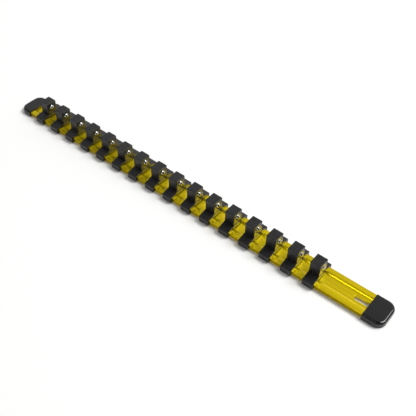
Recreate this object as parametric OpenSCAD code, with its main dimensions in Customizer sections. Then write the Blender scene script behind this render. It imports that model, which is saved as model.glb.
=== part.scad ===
// Socket rail: an anodised aluminium rail with side grooves, a row of moulded drive posts that
// slide along it, and a push-on cap at each end. Each post holds a socket on a sprung steel ball.
//
// Units are millimetres. The origin is on the surface that the rail stands on, under the middle
// of the whole length. +X runs along the rail to its bare end, +Y across it, and +Z up.

/* [Rail] */
// Length of the aluminium extrusion
rail_length = 462; // [460:1:480]
// Width across the flanges
rail_width = 27.6; // [27:0.1:28.4]
// Height of the extrusion
rail_height = 4.5; // [4.3:0.1:5]
// Width of the flat bottom of the recess along the middle
recess_floor_width = 10; // [8:0.5:11]
// Width of the recess where its sloped sides meet the flanges
recess_top_width = 16.8; // [15:0.2:18]
// Depth of the recess below the flanges
recess_depth = 1.3; // [0.8:0.1:1.5]
// Height of the groove that runs along each side
groove_height = 1.6; // [1.5:0.1:1.8]
// Depth of the side groove
groove_depth = 1.5; // [1.3:0.1:1.6]
// Thickness of the lip above the side groove
lip_thickness = 0.8; // [0.7:0.1:1]

/* [Hanging slot] */
// Width of the slot through the recess at the bare end
slot_width = 5.2; // [4:0.1:6]
// Length of the slot from round end to round end
slot_length = 22; // [18:1:24]
// Round end of the slot that lies clear of the cap, from the middle of the rail
slot_start_x = 202.6; // [200:0.2:206]

/* [Clips] */
// Number of clips on the rail
clip_count = 16; // [4:1:16]
// Spacing of the clips along the rail
clip_pitch = 24.35; // [23:0.05:24.4]
// Centre of the clip beside the bare stretch, from the middle of the rail
last_clip_x = 162.5; // [158:0.5:166]
// Length of a clip's foot along the rail
foot_length = 11.6; // [11.2:0.1:13]
// Width of a clip's foot across the rail
foot_width = 32.3; // [31.8:0.1:33]
// Square post: its size along the rail
post_length = 11.1; // [10.8:0.1:12]
// Square post: its size across the rail, for a half inch square drive
post_width = 12.6; // [12.2:0.1:12.7]
// Height of the post's top above the surface that the rail stands on
post_top = 23.7; // [22:0.1:26]

/* [Ball detents] */
// Diameter of the steel ball
ball_diameter = 6; // [5.6:0.1:6.2]
// Height of the ball's centre above the surface that the rail stands on
ball_height = 17.4; // [16:0.1:18]
// How far the ball stands proud of the post
ball_proud = 1.5; // [1.2:0.1:1.6]
// Wire diameter of the spring behind the ball
spring_wire = 0.5; // [0.4:0.05:0.5]
// Turns of the spring
spring_turns = 5; // [3:1:5]

/* [End caps] */
// Length of the cap at the bare end
near_cap_length = 20.7; // [18:0.1:24]
// Length of the cap at the clip end
far_cap_length = 17.1; // [15:0.1:20]
// Width of a cap
cap_width = 30.2; // [30:0.1:31]
// Wall of a cap under the rail, which lifts it
cap_wall = 1.2; // [1:0.1:1.4]
// Wall of a cap above the rail
cap_top_wall = 0.9; // [0.9:0.1:1.2]
// Solid nose between the end of the rail and the closed end of a cap
cap_nose = 7.2; // [7.2:0.1:8]
// Corner radius of a cap, seen from above
cap_corner = 8.8; // [6:0.1:8.8]
// Radius along the top edge of a cap
cap_top_round = 2.6; // [1.5:0.1:2.6]
// Radius along the bottom edge of a cap
cap_bottom_round = 0.9; // [0.6:0.1:1.4]

/* [Hidden] */
$fn = 64;

// Running gaps
CAP_GAP = 0.1;
CLIP_GAP_TOP = 0.1;
CLIP_GAP_SIDE = 0.15;
HOOK_GAP = 0.2;
BALL_GAP = 0.07;
TOUCH_GAP = 0.02;

// Rail heights: the bottom walls of the caps lift it
rail_bottom = cap_wall;
rail_top = rail_bottom + rail_height;
recess_floor_z = rail_top - recess_depth;
groove_top = rail_top - lip_thickness;
groove_bottom = groove_top - groove_height;
rail_half = rail_width / 2;
LIP_ROUND = 0.5;
FOOT_ROUND = 0.4;

// How far a cutting shape reaches past the face that it cuts
OVERCUT = 1;

// Clip heights and widths
FOOT_LIFT = 0.2;
EDGE_RISE = 2.2;
SHOULDER_RISE = 4.1;
SHOULDER_NORMAL = 80;
foot_under = rail_top + CLIP_GAP_TOP;
foot_bottom = rail_bottom + FOOT_LIFT;
foot_half = foot_width / 2;
foot_in = rail_half + CLIP_GAP_SIDE;
hook_in = rail_half - groove_depth + HOOK_GAP;
foot_edge_z = rail_top + EDGE_RISE;
shoulder_z = rail_top + SHOULDER_RISE;
FOOT_EDGE_ROUND = 0.9;
POST_CHAMFER = 0.45;
BLIND_WALL = 2.1;

// Ball, its bore and its spring, measured inwards from the face of the post
ball_r = ball_diameter / 2;
bore_r = ball_r + BALL_GAP;
bore_depth = post_length - BLIND_WALL;
ball_depth = ball_r - ball_proud;
MOUTH_LENGTH = 0.3;
mouth_r = sqrt(ball_r ^ 2 - (ball_depth - MOUTH_LENGTH) ^ 2) + BALL_GAP;
spring_r = 2.2;
wire_r = spring_wire / 2;
spring_start = ball_depth + sqrt((ball_r + wire_r) ^ 2 - spring_r ^ 2) + TOUCH_GAP;
spring_end = bore_depth - wire_r - TOUCH_GAP;
SPRING_RINGS = 8;
WIRE_SIDES = 6;

// End caps
cap_height = cap_wall + rail_height + CAP_GAP + cap_top_wall;
cap_end_x = rail_length / 2 + CAP_GAP + cap_nose;
HULL_FN = 32;
SLICE = 0.05;

function two_digits(i) = str(i < 10 ? "0" : "", i);
function names(stem) = [for (i = [1 : clip_count]) str(stem, two_digits(i))];
function clip_x(i) = last_clip_x - (clip_count - i) * clip_pitch;

// Points of an arc about (y, z) from angle a0 to a1
function arc(y, z, r, a0, a1, steps = 5) =
    [for (k = [0 : steps]) let (a = a0 + (a1 - a0) * k / steps) [y + r * cos(a), z + r * sin(a)]];

// Points of a smooth step from height z0 at y0 to height z1 at y1
function smooth_step(y0, z0, y1, z1, steps = 8) =
    [for (k = [0 : steps]) let (t = k / steps) [y0 + (y1 - y0) * t, z0 + (z1 - z0) * (1 - cos(180 * t)) / 2]];

// A closed outline from the points of its right half, taken from the top middle to the bottom middle
function both_sides(half) = concat(half, [for (k = [len(half) - 1 : -1 : 0]) [-half[k][0], half[k][1]]]);

// Extrudes a cross-section, drawn as (Y, Z), along X from x0 to x1
module along_x(x0, x1) {
    translate([x0, 0, 0])
        rotate([90, 0, 90])
            linear_extrude(height = x1 - x0) children();
}

// Cross-section of the extrusion: recess, flanges, grooved sides and a flat underside
function rail_half_outline() = concat(
    smooth_step(recess_floor_width / 2, recess_floor_z, recess_top_width / 2, rail_top),
    arc(rail_half - LIP_ROUND, rail_top - LIP_ROUND, LIP_ROUND, 90, 0),
    [[rail_half, groove_top],
     [rail_half - groove_depth, groove_top],
     [rail_half - groove_depth, groove_bottom],
     [rail_half, groove_bottom]],
    arc(rail_half - FOOT_ROUND, rail_bottom + FOOT_ROUND, FOOT_ROUND, 0, -90)
);

module rail() {
    color("gold") difference() {
        along_x(-rail_length / 2, rail_length / 2) polygon(both_sides(rail_half_outline()));
        hanging_slot();
    }
}

module hanging_slot() {
    slot_r = slot_width / 2;
    travel = slot_length - slot_width;
    translate([slot_start_x + slot_r, 0, 0]) {
        cylinder(r = slot_r, h = rail_top);
        translate([travel, 0, 0]) cylinder(r = slot_r, h = rail_top);
        translate([0, -slot_r, 0]) cube([travel, slot_width, rail_top]);
    }
}

// Cross-section of a clip's foot: it wraps the flanges and hooks into the side grooves
function foot_half_outline() = concat(
    [[post_width / 2, shoulder_z]],
    arc(foot_half - FOOT_EDGE_ROUND, foot_edge_z - FOOT_EDGE_ROUND, FOOT_EDGE_ROUND, SHOULDER_NORMAL, 0),
    [[foot_half, foot_bottom],
     [foot_in, foot_bottom],
     [foot_in, groove_bottom + HOOK_GAP],
     [hook_in, groove_bottom + HOOK_GAP],
     [hook_in, groove_top - HOOK_GAP],
     [foot_in, groove_top - HOOK_GAP],
     [foot_in, foot_under]]
);

// A rectangle centred on the first axis, with its two top corners cut off
module chamfered_top(width, z0, z1, cut) {
    polygon([[-width / 2, z0], [width / 2, z0], [width / 2, z1 - cut],
             [width / 2 - cut, z1], [-width / 2 + cut, z1], [-width / 2, z1 - cut]]);
}

// A rectangle with its four corners cut off
module chamfered_rectangle(length, width, cut) {
    x = length / 2;
    y = width / 2;
    polygon([[x - cut, -y], [x, -y + cut], [x, y - cut], [x - cut, y],
             [-x + cut, y], [-x, y - cut], [-x, -y + cut], [-x + cut, -y]]);
}

module post() {
    intersection() {
        along_x(-post_length / 2, post_length / 2)
            chamfered_top(post_width, foot_under, post_top, POST_CHAMFER);
        translate([0, post_width / 2, 0])
            rotate([90, 0, 0])
                linear_extrude(height = post_width)
                    chamfered_top(post_length, foot_under, post_top, POST_CHAMFER);
        linear_extrude(height = post_top)
            chamfered_rectangle(post_length, post_width, POST_CHAMFER);
    }
}

// Blind bore for the ball and spring, with a narrower mouth that keeps the ball in
module ball_bore() {
    translate([post_length / 2, 0, ball_height]) rotate([0, -90, 0]) {
        translate([0, 0, MOUTH_LENGTH]) cylinder(r = bore_r, h = bore_depth - MOUTH_LENGTH);
        translate([0, 0, -OVERCUT]) cylinder(r = mouth_r, h = MOUTH_LENGTH + 2 * OVERCUT);
    }
}

module clip() {
    color("dimgray") difference() {
        union() {
            along_x(-foot_length / 2, foot_length / 2) polygon(both_sides(foot_half_outline()));
            post();
        }
        ball_bore();
    }
}

module ball() {
    color("silver") translate([post_length / 2 - ball_depth, 0, ball_height]) sphere(r = ball_r);
}

// Middle of the spring's wire after the given number of turns, from the ball inwards
function spring_point(turn) = [
    post_length / 2 - spring_start - (spring_end - spring_start) * turn / spring_turns,
    spring_r * cos(360 * turn),
    ball_height + spring_r * sin(360 * turn)
];

// One corner of the wire's cross-section there, in the plane through the spring's axis
function wire_corner(turn, side) =
    let (p = spring_point(turn), a = 360 * side / WIRE_SIDES, out = wire_r * cos(a))
    [p[0] + wire_r * sin(a), p[1] + out * cos(360 * turn), p[2] + out * sin(360 * turn)];

module spring() {
    rings = SPRING_RINGS * spring_turns;
    points = [for (r = [0 : rings], s = [0 : WIRE_SIDES - 1]) wire_corner(r / SPRING_RINGS, s)];
    sides = [for (r = [0 : rings - 1], s = [0 : WIRE_SIDES - 1])
        let (a = r * WIRE_SIDES + s, b = r * WIRE_SIDES + (s + 1) % WIRE_SIDES)
        each [[a, a + WIRE_SIDES, b + WIRE_SIDES], [a, b + WIRE_SIDES, b]]];
    first = [for (s = [1 : WIRE_SIDES - 2]) [0, s, s + 1]];
    last = [for (s = [1 : WIRE_SIDES - 2])
        [rings * WIRE_SIDES, rings * WIRE_SIDES + s + 1, rings * WIRE_SIDES + s]];
    gap = norm(spring_point(1) - spring_point(0)) - spring_wire;
    echo(least_gap_between_spring_turns = gap);
    color("lightgray") polyhedron(points = points, faces = concat(sides, first, last), convexity = 10);
}

// Half of a cap's cross-section, from its top middle to its bottom middle, out to the given half width
function cap_half_outline(half) = concat(
    [[0, cap_height]],
    arc(half - cap_top_round, cap_height - cap_top_round, cap_top_round, 90, 0, 6),
    arc(half - cap_bottom_round, cap_bottom_round, cap_bottom_round, 0, -90, 5),
    [[0, 0]]
);

// A cap for the +X end, from its mouth at x0 to its closed end
module end_cap(length) {
    mouth_x = cap_end_x - length;
    cavity_half = rail_half + CAP_GAP;
    color("darkslategray") difference() {
        hull() {
            along_x(mouth_x, mouth_x + SLICE)
                polygon(both_sides(cap_half_outline(cap_width / 2)));
            for (side = [0, 1])
                mirror([0, side, 0])
                    translate([cap_end_x - cap_corner, cap_width / 2 - cap_corner, 0])
                        rotate_extrude(angle = 90, $fn = HULL_FN) polygon(cap_half_outline(cap_corner));
        }
        translate([mouth_x - OVERCUT, -cavity_half, rail_bottom - CAP_GAP / 2])
            cube([length - cap_nose + OVERCUT, 2 * cavity_half, rail_height + CAP_GAP]);
    }
}

module end_cap_near() {
    end_cap(near_cap_length);
}

module end_cap_far() {
    mirror([1, 0, 0]) end_cap(far_cap_length);
}

rail();
end_cap_far();
end_cap_near();
for (i = [1 : clip_count]) translate([clip_x(i), 0, 0]) {
    clip();
    ball();
    spring();
}
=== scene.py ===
"""Socket rail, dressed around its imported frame.

A yellow anodised rail carries sixteen black moulded clips. Each clip has a square drive post with a
sprung steel ball that holds a socket, and a push-on cap closes each end of the rail. All sizes are
in metres, in the frame's own axes: +X along the rail to its bare end, +Y across it, and +Z up.
"""

import logging
import math
from collections.abc import Callable, Iterator, Sequence
from contextlib import contextmanager
from dataclasses import dataclass, field
from enum import Enum

import bmesh
import bpy
from mathutils import Matrix, Vector


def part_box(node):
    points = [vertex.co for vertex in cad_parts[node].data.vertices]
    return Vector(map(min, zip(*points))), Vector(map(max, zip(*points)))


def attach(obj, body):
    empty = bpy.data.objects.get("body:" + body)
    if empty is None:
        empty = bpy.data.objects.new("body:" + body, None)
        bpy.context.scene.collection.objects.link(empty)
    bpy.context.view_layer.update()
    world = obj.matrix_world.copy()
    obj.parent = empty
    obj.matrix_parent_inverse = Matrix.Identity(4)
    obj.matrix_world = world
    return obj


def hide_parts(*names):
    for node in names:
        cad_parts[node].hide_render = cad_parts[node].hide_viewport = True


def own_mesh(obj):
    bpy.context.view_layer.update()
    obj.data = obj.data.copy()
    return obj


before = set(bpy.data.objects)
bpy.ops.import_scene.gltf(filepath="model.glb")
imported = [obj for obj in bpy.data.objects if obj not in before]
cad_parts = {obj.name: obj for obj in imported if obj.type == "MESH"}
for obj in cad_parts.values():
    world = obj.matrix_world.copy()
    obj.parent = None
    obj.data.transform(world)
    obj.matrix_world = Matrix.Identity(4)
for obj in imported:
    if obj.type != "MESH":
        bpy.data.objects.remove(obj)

LOG = logging.getLogger("socket_rail")
MM = 0.001
TOUCH = 0.00002
# A face looks along an axis where its normal has more than this share of it
FACING = 0.9
# Sides of the tools that cut round holes
HOLE_SIDES = 48

Point2 = tuple[float, float]
EdgeTest = Callable[[Vector, Vector], bool]
FaceTest = Callable[[Vector, Vector], bool]
Place = tuple[float, float, float]
Span = tuple[float, float]


# ---------------------------------------------------------------------------------------------
# Workshop: small tools that select by place, and shape a piece in edit mode
# ---------------------------------------------------------------------------------------------


@dataclass(frozen=True)
class Round:
    """How an edge is rounded: where the bevel starts, and how many faces go across it."""

    radius: float
    steps: int


def near(a: float, b: float) -> bool:
    """True where two coordinates are the same place."""
    return abs(a - b) < TOUCH


def hold_only(piece: bpy.types.Object) -> None:
    """Makes a piece the active object and the only selected one."""
    bpy.ops.object.select_all(action="DESELECT")
    piece.select_set(True)
    bpy.context.view_layer.objects.active = piece


@contextmanager
def editing(piece: bpy.types.Object) -> Iterator[bpy.types.Mesh]:
    """Opens a piece in edit mode with nothing selected, and closes it afterwards.

    Args:
        piece: The mesh object to open.

    Returns:
        The piece's mesh, for the selection tools.
    """
    hold_only(piece)
    bpy.ops.object.mode_set(mode="EDIT")
    bpy.ops.mesh.select_mode(type="VERT")
    bpy.ops.mesh.select_all(action="DESELECT")
    try:
        yield piece.data
    finally:
        bpy.ops.object.mode_set(mode="OBJECT")


def select_found(mesh: bpy.types.Mesh, found: Sequence[bmesh.types.BMEdge | bmesh.types.BMFace]) -> None:
    """Selects the given edges or faces, and stops the script if there are none.

    Args:
        mesh: A mesh that is open in edit mode.
        found: Its edges or faces to select.
    """
    if not found:
        raise ValueError("nothing was found at a place that is to be shaped")
    for element in found:
        element.select_set(True)
    bmesh.update_edit_mesh(mesh)


def pick_edges(mesh: bpy.types.Mesh, wanted: EdgeTest) -> None:
    """Selects the edges whose two end points pass a test, and nothing else.

    Args:
        mesh: A mesh that is open in edit mode.
        wanted: Takes the two end points of an edge.
    """
    bpy.ops.mesh.select_mode(type="EDGE")
    bpy.ops.mesh.select_all(action="DESELECT")
    shape = bmesh.from_edit_mesh(mesh)
    select_found(mesh, [e for e in shape.edges if wanted(e.verts[0].co, e.verts[1].co)])


def pick_faces(mesh: bpy.types.Mesh, wanted: FaceTest) -> None:
    """Selects the faces whose middle and normal pass a test, and nothing else.

    Args:
        mesh: A mesh that is open in edit mode.
        wanted: Takes the middle of a face and its normal.
    """
    bpy.ops.mesh.select_mode(type="FACE")
    bpy.ops.mesh.select_all(action="DESELECT")
    shape = bmesh.from_edit_mesh(mesh)
    select_found(mesh, [f for f in shape.faces if wanted(f.calc_center_median(), f.normal)])


def runs_along_x(*places: Point2) -> EdgeTest:
    """Makes a test for the edges that run along X, on both sides of the middle.

    Args:
        *places: The (y, z) places that the edges pass through.

    Returns:
        The test.
    """

    def test(a: Vector, b: Vector) -> bool:
        """True where the edge between two points is one of them."""
        straight = near(a.y, b.y) and near(a.z, b.z) and not near(a.x, b.x)
        return straight and any(near(abs(a.y), y) and near(a.z, z) for y, z in places)

    return test


def round_edges(mesh: bpy.types.Mesh, wanted: EdgeTest, rounding: Round) -> None:
    """Bevels the edges that pass a test.

    Args:
        mesh: A mesh that is open in edit mode.
        wanted: Takes the two end points of an edge.
        rounding: How they are rounded.
    """
    pick_edges(mesh, wanted)
    bpy.ops.mesh.bevel(
        offset_type="OFFSET", offset=rounding.radius, segments=rounding.steps, profile=0.5,
        affect="EDGES", clamp_overlap=False,
    )


def add_block(name: str, low: Sequence[float], high: Sequence[float]) -> bpy.types.Object:
    """Adds a cube primitive between two corners and moves its place into its mesh.

    Args:
        name: Name of the new piece.
        low: Its lowest corner.
        high: Its highest corner.

    Returns:
        The new object, which sits at the origin.
    """
    low, high = Vector(low), Vector(high)
    bpy.ops.object.select_all(action="DESELECT")
    bpy.ops.mesh.primitive_cube_add(size=1, location=(low + high) / 2, scale=high - low)
    return settle(bpy.context.object, name)


def settle(piece: bpy.types.Object, name: str) -> bpy.types.Object:
    """Names a piece and applies its place, turn and scale to its mesh.

    Args:
        piece: The object that was just made.
        name: Its name from now on.

    Returns:
        The same object, at the origin.
    """
    piece.name = piece.data.name = name
    hold_only(piece)
    bpy.ops.object.transform_apply(location=True, rotation=True, scale=True)
    return piece


def trace_half(name: str, x: float, points: Sequence[Point2]) -> bpy.types.Object:
    """Traces the right half of a cross-section and mirrors it, as a closed flat face at x.

    One vertex is extruded from each point to the next, from the top middle to the bottom middle.

    Args:
        name: Name of the new piece.
        x: Where the face stands.
        points: The (y, z) corners.

    Returns:
        The new object, with one face that looks along X.
    """
    bpy.ops.object.select_all(action="DESELECT")
    bpy.ops.mesh.primitive_plane_add(size=MM, location=(x, *points[0]))
    piece = settle(bpy.context.object, name)
    with editing(piece):
        bpy.ops.mesh.select_all(action="SELECT")
        bpy.ops.mesh.merge(type="CENTER")
        for (y0, z0), (y1, z1) in zip(points, points[1:]):
            bpy.ops.mesh.extrude_region_move(TRANSFORM_OT_translate={"value": (0, y1 - y0, z1 - z0)})
    apply_modifier(piece, "MIRROR", use_axis=(False, True, False), merge_threshold=TOUCH)
    with editing(piece):
        bpy.ops.mesh.select_all(action="SELECT")
        bpy.ops.mesh.edge_face_add()
    return piece


def pull_along_x(piece: bpy.types.Object, length: float) -> None:
    """Extrudes a traced face along X into a closed solid with its faces outwards.

    Args:
        piece: The traced face.
        length: How far it is extruded.
    """
    with editing(piece):
        bpy.ops.mesh.select_all(action="SELECT")
        bpy.ops.mesh.extrude_region_move(TRANSFORM_OT_translate={"value": (length, 0, 0)})
        bpy.ops.mesh.select_all(action="SELECT")
        bpy.ops.mesh.normals_make_consistent(inside=False)


def apply_modifier(piece: bpy.types.Object, kind: str, **settings: object) -> None:
    """Adds one modifier with its settings and applies it.

    Args:
        piece: The object to change.
        kind: The modifier's type.
        **settings: Its properties.
    """
    hold_only(piece)
    bpy.ops.object.modifier_add(type=kind)
    modifier = piece.modifiers[-1]
    for setting, value in settings.items():
        setattr(modifier, setting, value)
    bpy.ops.object.modifier_apply(modifier=modifier.name)


def cut_away(piece: bpy.types.Object, cutter: bpy.types.Object) -> None:
    """Takes a cutter's shape out of a piece, and removes the cutter."""
    apply_modifier(piece, "BOOLEAN", operation="DIFFERENCE", solver="EXACT", object=cutter)
    bpy.data.objects.remove(cutter)


def smooth_over(piece: bpy.types.Object, degrees: float = 35) -> None:
    """Shades a piece smooth up to an angle, with wide flats kept flat next to their bevels.

    Args:
        piece: The finished shape.
        degrees: The sharpest angle that is still shaded smooth.
    """
    hold_only(piece)
    bpy.ops.object.shade_smooth_by_angle(angle=math.radians(degrees))
    apply_modifier(piece, "WEIGHTED_NORMAL", keep_sharp=True, weight=50)


def copy_along_x(pattern: bpy.types.Object, name: str, shift: float) -> bpy.types.Object:
    """Copies a finished piece with its own mesh, moved along X in the mesh.

    Args:
        pattern: The piece to copy.
        name: Name of the copy.
        shift: How far the copy is from the pattern.

    Returns:
        The copy, which sits at the origin.
    """
    copy = pattern.copy()
    copy.data = pattern.data.copy()
    copy.name = copy.data.name = name
    copy.data.transform(Matrix.Translation((shift, 0, 0)))
    bpy.context.scene.collection.objects.link(copy)
    return copy


def hand_over(piece: bpy.types.Object, node: str, body: str, finish: bpy.types.Material) -> None:
    """Gives a piece its material and its place in the frame.

    Args:
        piece: The finished piece.
        node: The CAD node that it stands for.
        body: The CAD body that it moves with.
        finish: Its material.
    """
    piece.data.materials.clear()
    piece.data.materials.append(finish)
    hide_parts(node)
    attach(piece, body)
    LOG.info("%s: %d faces, on body %s", piece.name, len(piece.data.polygons), body)


# ---------------------------------------------------------------------------------------------
# Finishes
# ---------------------------------------------------------------------------------------------


def linear(hex_colour: str) -> tuple[float, float, float, float]:
    """Turns an sRGB hex colour such as #c8a81c to linear red, green, blue and alpha."""
    channels = [int(hex_colour[i : i + 2], 16) / 255 for i in (1, 3, 5)]
    return (*(c / 12.92 if c <= 0.04045 else ((c + 0.055) / 1.055) ** 2.4 for c in channels), 1.0)


# Noise stays mostly between these two values, which a Map Range node takes as inputs 1 and 2
NOISE_SPAN = {"i1": 0.3, "i2": 0.7}


class Recipe:
    """A material being mixed: its node tree, and one way to add a node with settings and links."""

    def __init__(self, name: str) -> None:
        """Starts a material with nothing but its output node."""
        self.material = bpy.data.materials.new(name)
        self.material.use_nodes = True
        self.tree = self.material.node_tree
        self.tree.nodes.clear()
        self.output = self.tree.nodes.new("ShaderNodeOutputMaterial")

    def add(self, kind: str, settings: dict[str, object] | None = None, **sockets: object) -> bpy.types.Node:
        """Adds one node.

        Args:
            kind: The node's type, without its ShaderNode prefix.
            settings: Properties of the node itself.
            **sockets: Input values by socket name, with _ for a space, or an output to link from.

        Returns:
            The new node.
        """
        node = self.tree.nodes.new("ShaderNode" + kind)
        for name, value in (settings or {}).items():
            setattr(node, name, value)
        for name, value in sockets.items():
            socket = node.inputs[int(name[1:])] if name[1:].isdigit() else node.inputs[name.replace("_", " ")]
            if isinstance(value, bpy.types.NodeSocket):
                self.tree.links.new(value, socket)
            else:
                socket.default_value = value
        return node

    def pattern_space(self, grain: Place) -> bpy.types.NodeSocket:
        """Object coordinates, divided by the size of one grain along X, Y and Z."""
        place = self.add("TexCoord").outputs["Object"]
        return self.add("Mapping", Vector=place, Scale=tuple(1 / g for g in grain)).outputs["Vector"]

    def surface(self, shader: bpy.types.Node) -> bpy.types.Material:
        """Links a shader to the output and returns the finished material."""
        self.tree.links.new(shader.outputs[0], self.output.inputs["Surface"])
        return self.material


@dataclass(frozen=True)
class AnodisedAluminium:
    """Extruded aluminium, etched and dyed yellow in the anodising bath.

    The etched metal under the dyed film mirrors its surroundings in deep yellow, the dye scatters a
    little more, and the clear skin of the film adds a thin pale glint where a lamp is seen in it. The
    die leaves faint lines along the extrusion. Such lines are commonly about 0.2 mm apart; they are
    drawn at 1 mm, because finer lines wouldn't show.
    """

    colour: str = "#ead100"
    shade: str = "#cbb300"
    line_share: float = 0.7
    cloud_share: float = 0.3
    metallic: float = 0.7
    specular: float = 0.1
    roughness: Span = (0.18, 0.28)
    film: float = 0.12
    film_roughness: float = 0.06
    film_ior: float = 1.6
    line_size: Place = (90 * MM, 1.0 * MM, 1.0 * MM)
    line_strength: float = 0.12
    line_depth: float = 0.01 * MM
    cloud_size: Place = (60 * MM, 30 * MM, 30 * MM)

    def mix(self) -> bpy.types.Material:
        """Builds the material.

        Returns:
            The finished material.
        """
        r = Recipe("yellow_anodised_aluminium")
        lines = r.add(
            "TexNoise", Vector=r.pattern_space(self.line_size), Scale=1.0, Detail=3.0, Roughness=0.6
        ).outputs["Fac"]
        clouds = r.add(
            "TexNoise", Vector=r.pattern_space(self.cloud_size), Scale=1.0, Detail=2.0
        ).outputs["Fac"]
        line_dye = r.add("MapRange", Value=lines, **NOISE_SPAN, i3=0.0, i4=self.line_share).outputs["Result"]
        cloud_dye = r.add(
            "MapRange", Value=clouds, **NOISE_SPAN, i3=0.0, i4=self.cloud_share
        ).outputs["Result"]
        depth = r.add("Math", {"operation": "ADD"}, i0=line_dye, i1=cloud_dye)
        dye = r.add("Mix", {"data_type": "RGBA"}, Factor=depth.outputs[0])
        dye.inputs[6].default_value = linear(self.shade)
        dye.inputs[7].default_value = linear(self.colour)
        bump = r.add("Bump", Strength=self.line_strength, Distance=self.line_depth, Height=lines)
        satin = r.add("MapRange", Value=lines, **NOISE_SPAN, i3=self.roughness[0], i4=self.roughness[1])
        return r.surface(
            r.add(
                "BsdfPrincipled", Base_Color=dye.outputs[2], Metallic=self.metallic,
                Specular_IOR_Level=self.specular, Roughness=satin.outputs["Result"],
                Coat_Weight=self.film, Coat_Roughness=self.film_roughness, Coat_IOR=self.film_ior,
                Normal=bump.outputs["Normal"],
            )
        )


@dataclass(frozen=True)
class SparkTexturedNylon:
    """Black glass-filled nylon, moulded in a spark-eroded tool.

    The tool leaves a fine dull grain, so the flats look dry and charcoal, while at a grazing angle
    they pick up a soft sheen of what lies beside them. Such grain is commonly about 0.15 mm; it is
    drawn at 1.2 mm, because finer grain wouldn't show.
    """

    colour: str = "#29292a"
    shade: str = "#040404"
    ior: float = 1.5
    gloss: float = 0.34
    roughness: Span = (0.3, 0.39)
    grain: float = 1.2 * MM
    grain_strength: float = 0.6
    grain_depth: float = 0.2 * MM
    flow: float = 9 * MM

    def mix(self) -> bpy.types.Material:
        """Builds the material.

        Returns:
            The finished material.
        """
        r = Recipe("black_spark_textured_nylon")
        grain = r.add(
            "TexNoise", Vector=r.pattern_space((self.grain,) * 3), Scale=1.0, Detail=2.0, Roughness=0.65
        ).outputs["Fac"]
        flow = r.add(
            "TexNoise", Vector=r.pattern_space((self.flow,) * 3), Scale=1.0, Detail=1.0
        ).outputs["Fac"]
        bump = r.add("Bump", Strength=self.grain_strength, Distance=self.grain_depth, Height=grain)
        speck = r.add("MapRange", Value=grain, **NOISE_SPAN, i3=0.0, i4=1.0)
        pigment = r.add("Mix", {"data_type": "RGBA"}, Factor=speck.outputs["Result"])
        pigment.inputs[6].default_value = linear(self.shade)
        pigment.inputs[7].default_value = linear(self.colour)
        dullness = r.add("MapRange", Value=flow, **NOISE_SPAN, i3=self.roughness[0], i4=self.roughness[1])
        return r.surface(
            r.add(
                "BsdfPrincipled", Base_Color=pigment.outputs[2], IOR=self.ior, Specular_IOR_Level=self.gloss,
                Roughness=dullness.outputs["Result"], Normal=bump.outputs["Normal"],
            )
        )


@dataclass(frozen=True)
class PolishedPolypropylene:
    """Black polypropylene from a polished tool.

    Smooth enough to hold a soft outline of the lamps along its rounded edges, with the slight
    unevenness that the plastic takes as it shrinks.
    """

    colour: str = "#0b0b0c"
    ior: float = 1.49
    roughness: Span = (0.1, 0.17)
    ripple: float = 5 * MM
    ripple_strength: float = 0.15
    ripple_depth: float = 0.05 * MM

    def mix(self) -> bpy.types.Material:
        """Builds the material.

        Returns:
            The finished material.
        """
        r = Recipe("black_polished_polypropylene")
        ripple = r.add(
            "TexNoise", Vector=r.pattern_space((self.ripple,) * 3), Scale=1.0, Detail=2.0
        ).outputs["Fac"]
        bump = r.add("Bump", Strength=self.ripple_strength, Distance=self.ripple_depth, Height=ripple)
        dullness = r.add("MapRange", Value=ripple, **NOISE_SPAN, i3=self.roughness[0], i4=self.roughness[1])
        return r.surface(
            r.add(
                "BsdfPrincipled", Base_Color=linear(self.colour), IOR=self.ior,
                Roughness=dullness.outputs["Result"], Normal=bump.outputs["Normal"],
            )
        )


@dataclass(frozen=True)
class BareSteel:
    """Bare steel, whose fine marks vary its shine. Each kind of steel gives its own values."""

    name: str
    colour: str
    roughness: Span
    mark: float
    detail: float

    def mix(self) -> bpy.types.Material:
        """Builds the material.

        Returns:
            The finished material.
        """
        r = Recipe(self.name)
        marks = r.add(
            "TexNoise", Vector=r.pattern_space((self.mark,) * 3), Scale=1.0, Detail=self.detail
        ).outputs["Fac"]
        haze = r.add("MapRange", Value=marks, **NOISE_SPAN, i3=self.roughness[0], i4=self.roughness[1])
        return r.surface(
            r.add(
                "BsdfPrincipled", Base_Color=linear(self.colour), Metallic=1.0,
                Roughness=haze.outputs["Result"],
            )
        )


@dataclass(frozen=True)
class BearingSteel(BareSteel):
    """Hardened chrome steel, ground and lapped to a near mirror of the pale room and the yellow rail."""

    name: str = "lapped_bearing_steel"
    colour: str = "#abacad"
    roughness: Span = (0.04, 0.1)
    mark: float = 0.6 * MM
    detail: float = 3.0


@dataclass(frozen=True)
class DrawnSpringSteel(BareSteel):
    """Cold drawn spring wire, with the dull grey shine and the fine marks that the die leaves."""

    name: str = "drawn_spring_steel"
    colour: str = "#9c9c98"
    roughness: Span = (0.26, 0.4)
    mark: float = 0.08 * MM
    detail: float = 1.0


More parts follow.
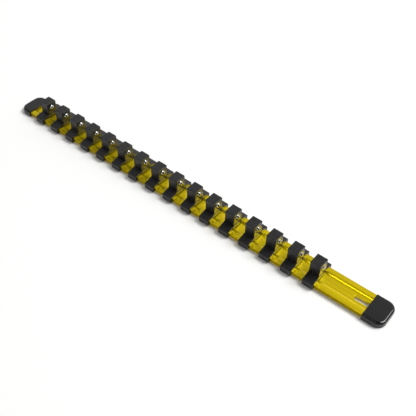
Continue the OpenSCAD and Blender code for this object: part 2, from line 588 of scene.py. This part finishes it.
@dataclass(frozen=True)
class StudioPaper:
    """White seamless paper. It keeps the object's shadow, and its walls glow where they are seen.

    Only the camera, gloss and clear things see the glow, which grows up the walls. Matt surfaces get
    no light from it.
    """

    colour: str = "#f6f6f5"
    glow: float = 0.04
    wall_glow: float = 0.5
    wall_start: float = 0.05
    wall_full: float = 0.7

    def mix(self) -> bpy.types.Material:
        """Builds the material.

        Returns:
            The finished material.
        """
        r = Recipe("white_seamless_paper")
        paper = r.add("BsdfDiffuse", Color=linear(self.colour))
        path = r.add("LightPath").outputs
        seen = r.add("Math", {"operation": "MAXIMUM"}, i0=path["Is Camera Ray"], i1=path["Is Glossy Ray"])
        shown = r.add("Math", {"operation": "MAXIMUM"}, i0=seen.outputs[0], i1=path["Is Transmission Ray"])
        height = r.add("SeparateXYZ", Vector=r.add("TexCoord").outputs["Object"]).outputs["Z"]
        lift = r.add(
            "MapRange", Value=height, i1=self.wall_start, i2=self.wall_full, i3=self.glow, i4=self.wall_glow
        ).outputs["Result"]
        level = r.add("Math", {"operation": "MULTIPLY"}, i0=shown.outputs[0], i1=lift)
        light = r.add("Emission", Color=(1, 1, 1, 1), Strength=level.outputs[0])
        return r.surface(r.add("AddShader", i0=paper.outputs[0], i1=light.outputs[0]))


# ---------------------------------------------------------------------------------------------
# The rail
# ---------------------------------------------------------------------------------------------


@dataclass
class Rail:
    """The aluminium extrusion: flanges with a recess between them, grooved sides and a flat underside."""

    floor_width: float = 10 * MM
    recess_width: float = 16.8 * MM
    recess_depth: float = 1.3 * MM
    slope_run: float = 2.3 * MM
    recess_round: Round = Round(0.7 * MM, 8)
    lip_thickness: float = 0.8 * MM
    lip_round: Round = Round(0.5 * MM, 5)
    lip_under_round: Round = Round(0.12 * MM, 2)
    # Flat, and on the visual model alone: the solids keep this edge square
    lower_lip_bevel: Round = Round(0.6 * MM, 1)
    groove_height: float = 1.6 * MM
    groove_depth: float = 1.5 * MM
    groove_round: Round = Round(0.24 * MM, 2)
    foot_round: Round = Round(0.4 * MM, 4)
    slot_width: float = 5.2 * MM
    slot_length: float = 22 * MM
    slot_start: float = 202.6 * MM
    slot_round: Round = Round(0.3 * MM, 3)
    low: Vector = field(default_factory=lambda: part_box("rail")[0])
    high: Vector = field(default_factory=lambda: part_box("rail")[1])

    @property
    def groove_top(self) -> float:
        """Height of the side groove's ceiling."""
        return self.high.z - self.lip_thickness

    @property
    def groove_bottom(self) -> float:
        """Height of the side groove's floor."""
        return self.groove_top - self.groove_height

    @property
    def floor_z(self) -> float:
        """Height of the recess floor."""
        return self.high.z - self.recess_depth

    def section(self) -> list[Point2]:
        """Works out the right half of the cross-section.

        Returns:
            Its (y, z) corners, from the top middle to the bottom middle.
        """
        side, top, bottom = self.high.y, self.high.z, self.low.z
        slope_middle = (self.floor_width + self.recess_width) / 4
        slope_low, slope_high = slope_middle - self.slope_run / 2, slope_middle + self.slope_run / 2
        return [
            (0, self.floor_z),
            (slope_low, self.floor_z),
            (slope_high, top),
            (side, top),
            (side, self.groove_top),
            (side - self.groove_depth, self.groove_top),
            (side - self.groove_depth, self.groove_bottom),
            (side, self.groove_bottom),
            (side, bottom),
            (0, bottom),
        ]

    def round_section(self, mesh: bpy.types.Mesh) -> None:
        """Rounds the long edges: the recess widely, the lips and feet finely.

        Args:
            mesh: The extruded solid, open in edit mode.
        """
        corners = self.section()
        slope_low, slope_high, lip_top, lip_under = corners[1:5]
        groove_in_top, groove_in_bottom, side_top, side_bottom = corners[5:9]
        round_edges(mesh, runs_along_x(slope_low, slope_high), self.recess_round)
        round_edges(mesh, runs_along_x(lip_top), self.lip_round)
        round_edges(mesh, runs_along_x(side_bottom), self.foot_round)
        round_edges(mesh, runs_along_x(side_top), self.lower_lip_bevel)
        round_edges(mesh, runs_along_x(lip_under), self.lip_under_round)
        round_edges(mesh, runs_along_x(groove_in_top, groove_in_bottom), self.groove_round)

    def slot_cutter(self) -> bpy.types.Object:
        """Makes a tool the shape of the hanging slot, tall enough to pass through the rail.

        Returns:
            A half of a cylinder at each end of the slot, with flat sides between them.
        """
        radius, travel = self.slot_width / 2, self.slot_length - self.slot_width
        middle, height = self.slot_start + radius, 4 * self.high.z
        bpy.ops.object.select_all(action="DESELECT")
        bpy.ops.mesh.primitive_cylinder_add(
            vertices=HOLE_SIDES, radius=radius, depth=height, location=(middle, 0, 0)
        )
        cutter = settle(bpy.context.object, "slot_cutter")
        with editing(cutter) as mesh:
            bpy.ops.mesh.bisect(plane_co=(middle, 0, 0), plane_no=(1, 0, 0))
            shape = bmesh.from_edit_mesh(mesh)
            for vertex in shape.verts:
                vertex.select_set(vertex.co.x > middle + TOUCH)
            shape.select_flush(True)
            bmesh.update_edit_mesh(mesh)
            bpy.ops.transform.translate(value=(travel, 0, 0))
        return cutter

    def slot_rim(self, a: Vector, b: Vector) -> bool:
        """Finds the edges round the slot, at the recess floor and at the underside.

        Args:
            a: One end of an edge.
            b: Its other end.

        Returns:
            True where the edge is one of them.
        """
        level = near(a.z, b.z) and any(near(a.z, z) for z in (self.floor_z, self.low.z))
        across = max(abs(a.y), abs(b.y)) < self.slot_width / 2 + TOUCH
        along = min(a.x, b.x) > self.slot_start - TOUCH and max(a.x, b.x) < self.high.x - TOUCH
        return level and across and along

    def build(self, finish: bpy.types.Material) -> None:
        """Makes the extrusion, cuts its slot and hands it over.

        Args:
            finish: The anodised finish.
        """
        rail = trace_half("rail_extrusion", self.low.x, self.section())
        pull_along_x(rail, self.high.x - self.low.x)
        with editing(rail) as mesh:
            self.round_section(mesh)
        cut_away(rail, self.slot_cutter())
        with editing(rail) as mesh:
            round_edges(mesh, self.slot_rim, self.slot_round)
        smooth_over(rail)
        hand_over(rail, "rail", "rail", finish)


# ---------------------------------------------------------------------------------------------
# Clips, balls and springs
# ---------------------------------------------------------------------------------------------


@dataclass
class DriveClip:
    """A moulded clip: a foot that hooks round the rail, and a square post with a bore for the ball."""

    rail: Rail
    count: int = 16
    post_length: float = 11.1 * MM
    post_width: float = 12.6 * MM
    post_round: Round = Round(0.45 * MM, 4)
    shoulder: float = 4.1 * MM
    edge_height: float = 2.03 * MM
    edge_round: Round = Round(0.75 * MM, 5)
    fine_round: Round = Round(0.125 * MM, 2)
    fine_angle: float = math.radians(40)
    gap_top: float = 0.1 * MM
    gap_side: float = 0.15 * MM
    hook_gap: float = 0.2 * MM
    bore_radius: float = 3.07 * MM
    mouth_radius: float = 2.82 * MM
    mouth_length: float = 0.3 * MM
    bore_depth: float = 9 * MM
    cutter_reach: float = 1 * MM
    ball_height: float = 17.4 * MM

    def name(self, number: int, stem: str = "clip") -> str:
        """Name of one clip's CAD node or body, such as clip_03."""
        return f"{stem}_{number:02d}"

    def box(self, number: int) -> tuple[Vector, Vector]:
        """Lowest and highest corner of one clip's CAD node."""
        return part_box(self.name(number))

    def middle(self, number: int) -> float:
        """Where one clip stands along the rail."""
        low, high = self.box(number)
        return (low.x + high.x) / 2

    def section(self) -> list[Point2]:
        """Works out the right half of the clip's outline.

        Returns:
            Its (y, z) corners, from the top middle round the hook to the foot's underside.
        """
        low, high = self.box(1)
        rail, flange = self.rail, self.rail.high.z
        inner, hook = rail.high.y + self.gap_side, rail.high.y - rail.groove_depth + self.hook_gap
        return [
            (0, high.z),
            (self.post_width / 2, high.z),
            (self.post_width / 2, flange + self.shoulder),
            (high.y, flange + self.edge_height),
            (high.y, low.z),
            (inner, low.z),
            (inner, rail.groove_bottom + self.hook_gap),
            (hook, rail.groove_bottom + self.hook_gap),
            (hook, rail.groove_top - self.hook_gap),
            (inner, rail.groove_top - self.hook_gap),
            (inner, flange + self.gap_top),
            (0, flange + self.gap_top),
        ]

    def widen_foot(self, clip: bpy.types.Object, middle: float, step: float) -> None:
        """Pushes the foot's two end faces out past the post.

        Args:
            clip: The extruded clip.
            middle: Where it stands along X.
            step: How far each end face moves.
        """
        shoulder_z = self.rail.high.z + self.shoulder
        with editing(clip) as mesh:
            bpy.ops.mesh.select_all(action="SELECT")
            bpy.ops.mesh.bisect(plane_co=(middle, 0, shoulder_z), plane_no=(0, 0, 1))
            for side in (-1, 1):
                pick_faces(mesh, lambda at, out: out.x * side > FACING and at.z < shoulder_z)
                bpy.ops.mesh.extrude_region_move(TRANSFORM_OT_translate={"value": (side * step, 0, 0)})
            bpy.ops.mesh.select_all(action="SELECT")
            bpy.ops.mesh.normals_make_consistent(inside=False)

    def round_post(self, mesh: bpy.types.Mesh, middle: float) -> None:
        """Rounds the post's upright and top edges together, so that its corners blend.

        Args:
            mesh: The clip, open in edit mode.
            middle: Where it stands along X.
        """
        x, y, top = self.post_length / 2, self.post_width / 2, self.box(1)[1].z
        shoulder_z = self.rail.high.z + self.shoulder

        def outer(a: Vector, b: Vector) -> bool:
            """True for the post's upright corners and its top edges."""
            on_corner = all(near(abs(p.x - middle), x) and near(abs(p.y), y) for p in (a, b))
            upright = near(a.y, b.y) and near(a.x, b.x) and on_corner and min(a.z, b.z) > shoulder_z - TOUCH
            return upright or (near(a.z, top) and near(b.z, top))

        round_edges(mesh, outer, self.post_round)

    def bore_cutter(self, middle: float) -> bpy.types.Object:
        """Makes the ball's blind bore and its narrower mouth as one stepped tool along X.

        Args:
            middle: Where the clip stands along X.

        Returns:
            The tool, which starts outside the post's face.
        """
        face = middle + self.post_length / 2
        start = face + (self.cutter_reach - self.mouth_length) / 2
        bpy.ops.object.select_all(action="DESELECT")
        bpy.ops.mesh.primitive_cylinder_add(
            vertices=HOLE_SIDES, radius=self.mouth_radius, depth=self.cutter_reach + self.mouth_length,
            location=(start, 0, self.ball_height), rotation=(0, math.pi / 2, 0),
        )
        cutter = settle(bpy.context.object, "bore_cutter")
        spread = self.bore_radius / self.mouth_radius
        with editing(cutter) as mesh:
            pick_faces(mesh, lambda at, out: out.x < -FACING)
            bpy.ops.mesh.extrude_region_move(TRANSFORM_OT_translate={"value": (0, 0, 0)})
            bpy.ops.transform.resize(value=(1, spread, spread), center_override=(face, 0, self.ball_height))
            bpy.ops.mesh.extrude_region_move(
                TRANSFORM_OT_translate={"value": (self.mouth_length - self.bore_depth, 0, 0)}
            )
            bpy.ops.mesh.select_all(action="SELECT")
            bpy.ops.mesh.normals_make_consistent(inside=False)
        return cutter

    def round_mouth(self, mesh: bpy.types.Mesh, face: float) -> None:
        """Rounds the edge of the bore's mouth.

        Args:
            mesh: The clip, open in edit mode.
            face: Where the post's face is along X.
        """
        rim = self.mouth_radius + TOUCH

        def mouth(a: Vector, b: Vector) -> bool:
            """True for the edges of the round hole in the face."""
            on_face = near(a.x, face) and near(b.x, face)
            return on_face and all(math.hypot(p.y, p.z - self.ball_height) < rim for p in (a, b))

        round_edges(mesh, mouth, self.fine_round)

    def shape(self) -> bpy.types.Object:
        """Models the first clip, which the others are copied from.

        Returns:
            The finished clip.
        """
        low, high = self.box(1)
        middle = self.middle(1)
        corners = self.section()
        foot_edge = corners[3]
        clip = trace_half("drive_clip_01", middle - self.post_length / 2, corners)
        pull_along_x(clip, self.post_length)
        self.widen_foot(clip, middle, (high.x - low.x - self.post_length) / 2)
        with editing(clip) as mesh:
            self.round_post(mesh, middle)
            round_edges(mesh, runs_along_x(foot_edge), self.edge_round)
        apply_modifier(
            clip, "BEVEL", width=self.fine_round.radius, segments=self.fine_round.steps,
            limit_method="ANGLE", angle_limit=self.fine_angle, use_clamp_overlap=True,
        )
        cut_away(clip, self.bore_cutter(middle))
        with editing(clip) as mesh:
            self.round_mouth(mesh, middle + self.post_length / 2)
        smooth_over(clip)
        return clip

    def build(self, finish: bpy.types.Material) -> None:
        """Models one clip, copies it along the rail and hands each over.

        Args:
            finish: The moulded finish.
        """
        first = self.shape()
        for number in range(2, self.count + 1):
            shift = self.middle(number) - self.middle(1)
            copy = copy_along_x(first, f"drive_clip_{number:02d}", shift)
            hand_over(copy, self.name(number), self.name(number), finish)
        hand_over(first, self.name(1), self.name(1), finish)


@dataclass
class BallDetent:
    """What holds a socket on each post: a steel ball with a coil spring behind it."""

    clips: DriveClip
    wire: float = 0.5 * MM
    turns: int = 5
    wire_sides: int = 10
    turn_steps: int = 28
    wire_smooth_degrees: float = 60
    ball_cuts: int = 15
    travel: float = 1.4 * MM

    def shape_ball(self) -> bpy.types.Object:
        """Models the first ball from a cube that is divided evenly and drawn to a sphere.

        Returns:
            The finished ball.
        """
        low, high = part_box(self.clips.name(1, "ball"))
        middle, radius = (low + high) / 2, (high.x - low.x) / 2
        ball = add_block("detent_ball_01", middle - Vector((radius,) * 3), middle + Vector((radius,) * 3))
        with editing(ball) as mesh:
            bpy.ops.mesh.select_all(action="SELECT")
            bpy.ops.mesh.subdivide(number_cuts=self.ball_cuts)
            bpy.ops.transform.tosphere(value=1.0)
            shape = bmesh.from_edit_mesh(mesh)
            for vertex in shape.verts:
                vertex.co = middle + (vertex.co - middle).normalized() * radius
            bmesh.update_edit_mesh(mesh)
        hold_only(ball)
        bpy.ops.object.shade_smooth()
        return ball

    def shape_spring(self) -> bpy.types.Object:
        """Models the first spring: the wire's cross-section, screwed along X, with its ends closed.

        Returns:
            The finished spring.
        """
        low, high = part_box(self.clips.name(1, "spring"))
        radius = (high.y - low.y - self.wire) / 2
        start, end = high.x - self.wire / 2, low.x + self.wire / 2
        height = (low.z + high.z) / 2
        bpy.ops.object.select_all(action="DESELECT")
        bpy.ops.mesh.primitive_circle_add(
            vertices=self.wire_sides, radius=self.wire / 2, location=(0, radius, 0)
        )
        spring = bpy.context.object
        hold_only(spring)
        bpy.ops.object.transform_apply(location=True, rotation=True, scale=True)
        apply_modifier(
            spring, "SCREW", axis="X", angle=2 * math.pi, screw_offset=(end - start) / self.turns,
            iterations=self.turns, steps=self.turn_steps, render_steps=self.turn_steps,
            use_merge_vertices=False,
        )
        spring.location = (start, 0, height)
        settle(spring, "detent_spring_01")
        with editing(spring):
            bpy.ops.mesh.select_all(action="DESELECT")
            bpy.ops.mesh.select_non_manifold()
            bpy.ops.mesh.edge_face_add()
            bpy.ops.mesh.select_all(action="SELECT")
            bpy.ops.mesh.normals_make_consistent(inside=False)
        smooth_over(spring, self.wire_smooth_degrees)
        return spring

    def build(self, ball_finish: bpy.types.Material, wire_finish: bpy.types.Material) -> None:
        """Models one ball and one spring, copies them to each post and hands them over.

        Args:
            ball_finish: The ball's finish.
            wire_finish: The spring's finish.
        """
        first_ball, first_spring = self.shape_ball(), self.shape_spring()
        for number in range(1, self.clips.count + 1):
            clip, ball_node = self.clips.name(number), self.clips.name(number, "ball")
            shift = self.clips.middle(number) - self.clips.middle(1)
            ball, spring = first_ball, first_spring
            if number > 1:
                ball = copy_along_x(first_ball, f"detent_ball_{number:02d}", shift)
                spring = copy_along_x(first_spring, f"detent_spring_{number:02d}", shift)
            hand_over(ball, ball_node, ball_node, ball_finish)
            spring_node = self.clips.name(number, "spring")
            hand_over(spring, spring_node, clip, wire_finish)
            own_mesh(spring)


# ---------------------------------------------------------------------------------------------
# End caps
# ---------------------------------------------------------------------------------------------


class RailEnd(Enum):
    """The two ends of the rail: the cap's CAD node, its piece, and which way it points along X."""

    NEAR = ("end_cap_near", "end_cover_near", 1)
    FAR = ("end_cap_far", "end_cover_far", -1)

    @property
    def node(self) -> str:
        """Name of the cap's CAD node, which is its body's name too."""
        return self.value[0]

    @property
    def piece(self) -> str:
        """Name of the piece that stands for the node."""
        return self.value[1]

    @property
    def way(self) -> int:
        """1 for the +X end and -1 for the other."""
        return self.value[2]


@dataclass
class EndCap:
    """A push-on moulded cap: square at its mouth, with round corners at its closed end."""

    end: RailEnd
    rail: Rail
    corner_round: Round = Round(8.8 * MM, 20)
    top_round: Round = Round(2.6 * MM, 12)
    bottom_round: Round = Round(0.9 * MM, 12)
    mouth_round: Round = Round(0.15 * MM, 2)
    nose: float = 7.2 * MM
    gap: float = 0.1 * MM
    tool_reach: float = 1 * MM

    def round_outside(self, mesh: bpy.types.Mesh, mouth: float, closed: float) -> None:
        """Rounds the closed end's upright corners, then the top and bottom edges apart from the mouth's.

        Args:
            mesh: The cap's block, open in edit mode.
            mouth: Where the cap's open end is along X.
            closed: Where its closed end is.
        """

        def upright(a: Vector, b: Vector) -> bool:
            """True for the upright edges of the closed end."""
            return not near(a.z, b.z) and near(a.x, closed) and near(b.x, closed)

        round_edges(mesh, upright, self.corner_round)
        low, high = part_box(self.end.node)
        for level, rounding in ((high.z, self.top_round), (low.z, self.bottom_round)):

            def rim(a: Vector, b: Vector) -> bool:
                """True for the edges at this height, apart from the mouth's own."""
                at_mouth = near(a.x, mouth) and near(b.x, mouth)
                return near(a.z, level) and near(b.z, level) and not at_mouth

            round_edges(mesh, rim, rounding)

    def build(self, finish: bpy.types.Material) -> None:
        """Shapes the cap from a block, hollows it and hands it over.

        Args:
            finish: The moulded finish.
        """
        low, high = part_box(self.end.node)
        mouth, closed = (low.x, high.x) if self.end.way > 0 else (high.x, low.x)
        cap = add_block(self.end.piece, low, high)
        with editing(cap) as mesh:
            self.round_outside(mesh, mouth, closed)
        cut_away(cap, self.cavity_tool(mouth, closed))
        with editing(cap) as mesh:
            round_edges(mesh, lambda a, b: near(a.x, mouth) and near(b.x, mouth), self.mouth_round)
        smooth_over(cap)
        hand_over(cap, self.end.node, self.end.node, finish)

    def cavity_tool(self, mouth: float, closed: float) -> bpy.types.Object:
        """Makes a block the shape of the cap's cavity.

        Args:
            mouth: Where the cap's open end is along X.
            closed: Where its closed end is.

        Returns:
            The block, which starts outside the mouth.
        """
        way, rail = self.end.way, self.rail
        start, end = mouth - way * self.tool_reach, closed - way * self.nose
        half = rail.high.y + self.gap
        return add_block(
            "cavity_tool",
            (min(start, end), -half, rail.low.z - self.gap / 2),
            (max(start, end), half, rail.high.z + self.gap / 2),
        )


# ---------------------------------------------------------------------------------------------
# Studio
# ---------------------------------------------------------------------------------------------


@dataclass(frozen=True)
class SoftLamp:
    """A flat soft lamp: its middle, what it faces, its size, and how bright its face is."""

    name: str
    place: Place
    aim: Place
    size: tuple[float, float]
    level: float

    def hang(self) -> None:
        """Adds the lamp. Its power follows from its level, and a face of level 1 would show as white."""
        data = bpy.data.lights.new(self.name, "AREA")
        data.shape = "RECTANGLE"
        data.size, data.size_y = self.size
        data.energy = self.level * math.pi * self.size[0] * self.size[1]
        lamp = bpy.data.objects.new(self.name, data)
        lamp.location = self.place
        lamp.rotation_euler = (Vector(self.aim) - Vector(self.place)).to_track_quat("-Z", "Y").to_euler()
        lamp.visible_camera = False
        bpy.context.scene.collection.objects.link(lamp)


@dataclass
class Studio:
    """White paper sweep, soft lamps, an even dim room, and the camera at the photograph's angle."""

    camera_place: Place = (0.31468, -0.354774, 0.47626)
    camera_turn: Place = (0.765532, -0.014222, 0.685061)
    lens_mm: float = 56.274
    sensor_mm: float = 36
    nearest: float = 0.01
    furthest: float = 50
    sweep_half: float = 3.6
    sweep_height: float = 1.25
    sweep_round: Round = Round(0.6, 16)
    corner_round: Round = Round(1.6, 16)
    sweep_angle: float = math.radians(30)
    room_level: float = 0.12
    lamps: tuple[SoftLamp, ...] = (
        SoftLamp("back_softbox", (-0.05, 1.25, 0.85), (0, 0, 0), (2.2, 1.2), 0.6),
        SoftLamp("left_softbox", (-1.15, 0.5, 0.95), (0, 0, 0), (1.4, 1.1), 0.5),
        SoftLamp("key_softbox", (1.6, 1.5, 3.1), (0, 0, 0), (1.8, 1.8), 13.2),
        SoftLamp("front_strip", (0.0, -0.5, 1.2), (0, 0, 0), (0.8, 0.07), 9.5),
    )

    def set_camera(self) -> None:
        """Puts the camera where the photograph was taken from."""
        data = bpy.data.cameras.new("photo_camera")
        data.sensor_width = self.sensor_mm
        data.lens = self.lens_mm
        data.clip_start, data.clip_end = self.nearest, self.furthest
        camera = bpy.data.objects.new("photo_camera", data)
        camera.location = self.camera_place
        camera.rotation_euler = self.camera_turn
        bpy.context.scene.collection.objects.link(camera)
        bpy.context.scene.camera = camera

    def lay_paper(self) -> None:
        """Lays the floor and turns it up into low walls all round, in one smooth sweep."""
        half = self.sweep_half
        sweep = add_block("paper_sweep", (-half, -half, 0), (half, half, self.sweep_height))
        with editing(sweep) as mesh:
            pick_faces(mesh, lambda at, out: out.z > FACING)
            bpy.ops.mesh.delete(type="FACE")
            round_edges(mesh, lambda a, b: not near(a.z, b.z), self.corner_round)
            round_edges(mesh, lambda a, b: near(a.z, 0) and near(b.z, 0), self.sweep_round)
            bpy.ops.mesh.select_all(action="SELECT")
            bpy.ops.mesh.flip_normals()
        hold_only(sweep)
        bpy.ops.object.shade_smooth_by_angle(angle=self.sweep_angle)
        sweep.data.materials.append(StudioPaper().mix())

    def light_room(self) -> None:
        """Fills the room with an even grey light."""
        world = bpy.data.worlds.new("grey_room")
        world.use_nodes = True
        background = world.node_tree.nodes["Background"]
        background.inputs["Color"].default_value = (1, 1, 1, 1)
        background.inputs["Strength"].default_value = self.room_level
        bpy.context.scene.world = world

    def build(self) -> None:
        """Sets up everything that isn't the object."""
        self.lay_paper()
        self.light_room()
        for lamp in self.lamps:
            lamp.hang()
        bpy.context.scene.view_settings.view_transform = "Standard"


def main() -> None:
    """Builds the object's pieces in order, then the studio round them."""
    logging.basicConfig(level=logging.INFO, format="%(name)s %(message)s")
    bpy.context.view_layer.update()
    studio = Studio()
    studio.set_camera()
    rail = Rail()
    rail.build(AnodisedAluminium().mix())
    clips = DriveClip(rail)
    clips.build(SparkTexturedNylon().mix())
    BallDetent(clips).build(BearingSteel().mix(), DrawnSpringSteel().mix())
    cap_finish = PolishedPolypropylene().mix()
    for end in RailEnd:
        EndCap(end, rail).build(cap_finish)
    studio.build()


if __name__ == "__main__":
    main()
